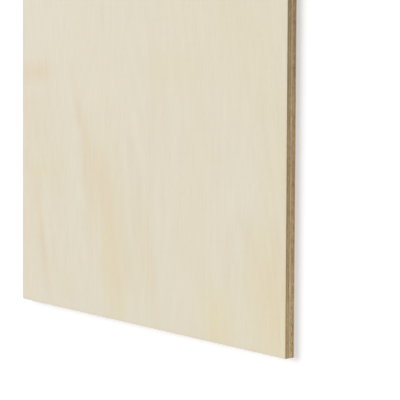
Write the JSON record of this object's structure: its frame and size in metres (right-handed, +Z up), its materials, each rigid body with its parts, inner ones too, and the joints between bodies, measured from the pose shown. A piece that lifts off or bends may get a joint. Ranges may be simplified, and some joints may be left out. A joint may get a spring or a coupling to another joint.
{
  "type": "plywood sheet",
  "caption": "Flat rectangular plywood sheet of crossed veneers, with pale smooth faces and a banded brown edge. Board to cut, glue or screw.",
  "frame": {"origin": "middle of the back face, which rests on the floor", "axes": "+Z up out of the face veneer, through the thickness; +Y along the sheet's length and its face grain; +X across its width"},
  "size_m": [0.61, 1.22, 0.012],
  "materials": {
    "face_veneer": "sanded pale veneer, unfinished",
    "crossband": "sawn edge, brown, end grain on the long edges",
    "core_veneer": "sawn edge, tan, end grain on the short edges"
  },
  "bodies": {
    "root": {"back_veneer": "face_veneer", "back_crossband": "crossband", "core_veneer": "core_veneer", "face_crossband": "crossband", "face_veneer": "face_veneer"}
  },
  "joints": []
}
